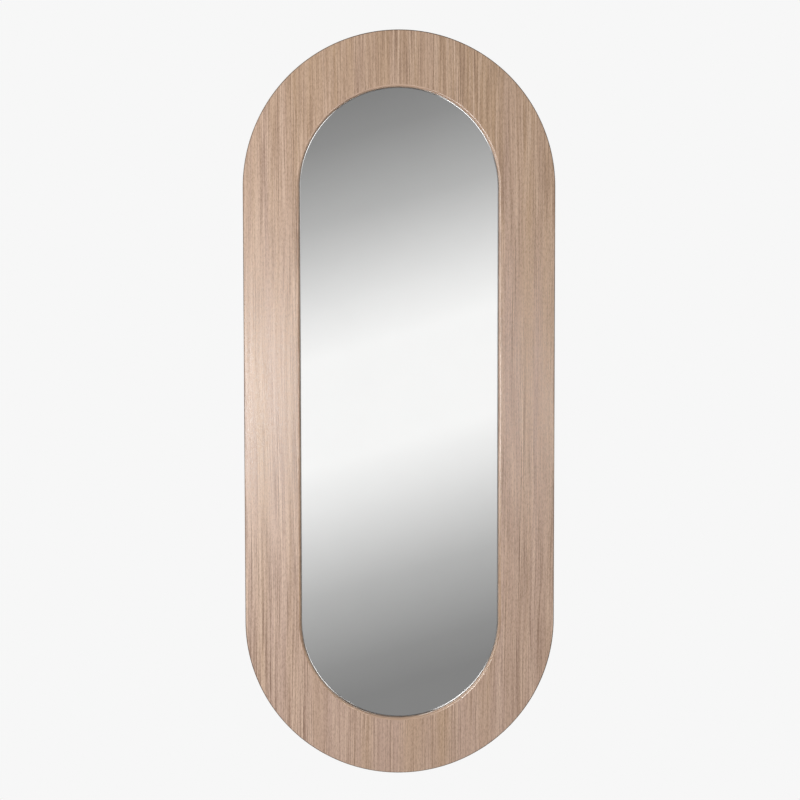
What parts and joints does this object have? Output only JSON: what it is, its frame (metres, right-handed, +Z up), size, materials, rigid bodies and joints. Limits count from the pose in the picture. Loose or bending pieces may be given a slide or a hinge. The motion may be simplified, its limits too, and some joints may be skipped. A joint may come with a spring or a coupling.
{
  "type": "wall mirror",
  "caption": "Pill-shaped wall mirror: mirror glass set into a wide wood-veneered frame with straight sides and half-round ends, hung by D-rings on its back.",
  "frame": {"origin": "middle of the mirror, on the wall plane that the bumpers' faces touch", "axes": "+Z up along the mirror's length, +X to the viewer's right, +Y from the glass to the wall"},
  "size_m": [0.75, 0.0352, 1.7978],
  "materials": {
    "fibreboard": "raw medium-density fibreboard",
    "face_wood": "pale oak veneer, satin lacquer, upright grain",
    "back_wood": "plain balancing veneer, matt",
    "edge_wood": "pale oak edge band and lipping, satin lacquer",
    "glass": "clear float glass, polished edge",
    "silver": "silvered",
    "film": "dark safety film",
    "foam_tape": "closed-cell foam",
    "adhesive": "cured mirror adhesive",
    "zinc_steel": "zinc plated",
    "ring_steel": "nickel plated wire",
    "rubber": "moulded black rubber"
  },
  "bodies": {
    "mirror": {"frame_core": "fibreboard", "back_panel": "fibreboard", "face_veneer": "face_wood", "back_veneer": "back_wood", "edge_band": "edge_wood", "opening_lipping": "edge_wood", "mirror_glass": "glass", "silver_coating": "silver", "safety_film": "film", "mounting_tapes": "foam_tape", "adhesive_beads": "adhesive", "bumper_washers": "zinc_steel", "bumper_screws": "zinc_steel", "hanger_strap_left": "zinc_steel", "hanger_strap_right": "zinc_steel", "hanger_screws_left": "zinc_steel", "hanger_screws_right": "zinc_steel", "bumper_top_left": "rubber", "bumper_top_right": "rubber", "bumper_bottom_left": "rubber", "bumper_bottom_right": "rubber"},
    "left_ring": {"hanger_ring_left": "ring_steel"},
    "right_ring": {"hanger_ring_right": "ring_steel"}
  },
  "joints": [
    {"name": "left_ring_swing", "type": "hinge", "parent": "mirror", "child": "left_ring", "pos_m": [-0.309, -0.0047, 0.464], "axis": [-1, 0, 0], "range_deg": [-3, 175]},
    {"name": "right_ring_swing", "type": "hinge", "parent": "mirror", "child": "right_ring", "pos_m": [0.309, -0.0047, 0.464], "axis": [-1, 0, 0], "range_deg": [-3, 175]}
  ]
}
